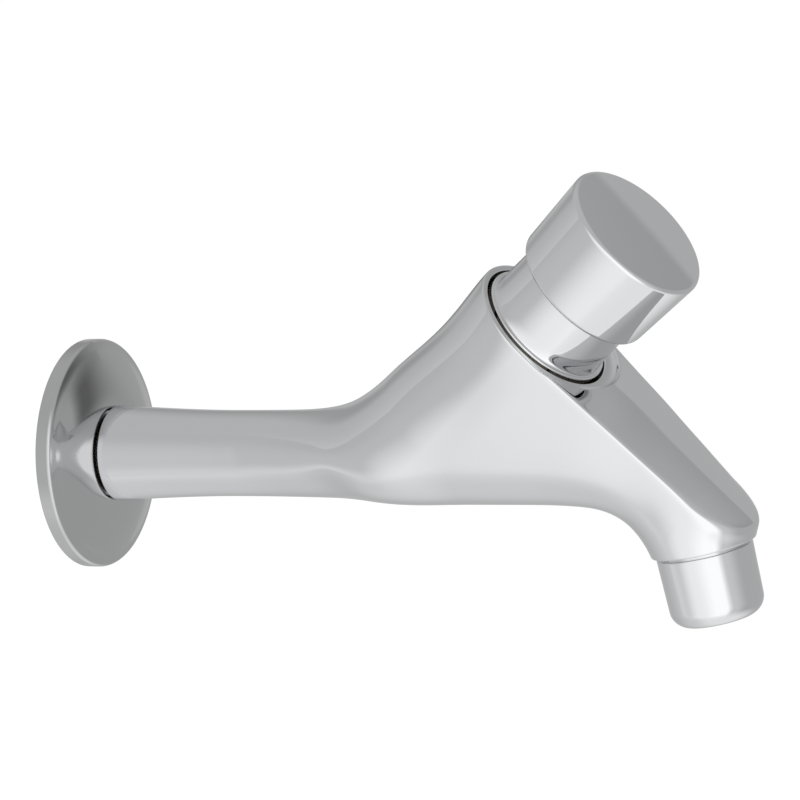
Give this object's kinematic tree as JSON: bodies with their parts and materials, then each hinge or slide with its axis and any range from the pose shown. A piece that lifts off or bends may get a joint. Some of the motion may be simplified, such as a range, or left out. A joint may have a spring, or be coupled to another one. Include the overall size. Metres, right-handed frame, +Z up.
{
  "type": "push timed tap",
  "caption": "Wall-mounted push timed tap: waisted tube with wall flange, inclined push button over a spring-returned dashpot valve, downturned spout with aerator.",
  "frame": {"origin": "on the axis of the inlet thread, in the plane of the wall behind the flange", "axes": "+X out of the wall along the tube, +Z up, Y = 0 is the plane of symmetry"},
  "size_m": [0.1931, 0.058, 0.1144],
  "materials": {
    "chrome": "polished chrome plate on brass",
    "brass": "machined",
    "stainless": "drawn stainless steel",
    "white_plastic": "moulded acetal",
    "blue_plastic": "moulded",
    "rubber": "moulded rubber"
  },
  "bodies": {
    "tap": {"body": "chrome", "wall_flange": "chrome", "inlet_strainer": "stainless", "flow_regulator": "blue_plastic", "bonnet": "chrome", "bonnet_o_ring": "rubber", "guide_bush": "brass", "stem_o_ring": "rubber", "timing_pin": "stainless", "cartridge_sleeve": "white_plastic", "seat_carrier": "brass", "seat_o_ring": "rubber", "return_spring": "stainless", "aerator_housing": "chrome", "aerator_insert": "white_plastic", "aerator_screens": "stainless", "aerator_washer": "rubber"},
    "plunger": {"push_button": "chrome", "button_locknut": "brass", "stem": "stainless", "piston": "white_plastic", "cup_seal": "rubber", "piston_clip": "stainless", "valve_disc": "brass", "valve_washer": "rubber", "valve_nut": "brass"}
  },
  "joints": [
    {"name": "button_press", "type": "slide", "parent": "tap", "child": "plunger", "axis": [-0.7578, 0, -0.6525], "range_m": [0, 0.008], "stiffness_N_per_m": 1600, "springref_m": -0.0075, "deforming": ["return_spring"]}
  ]
}
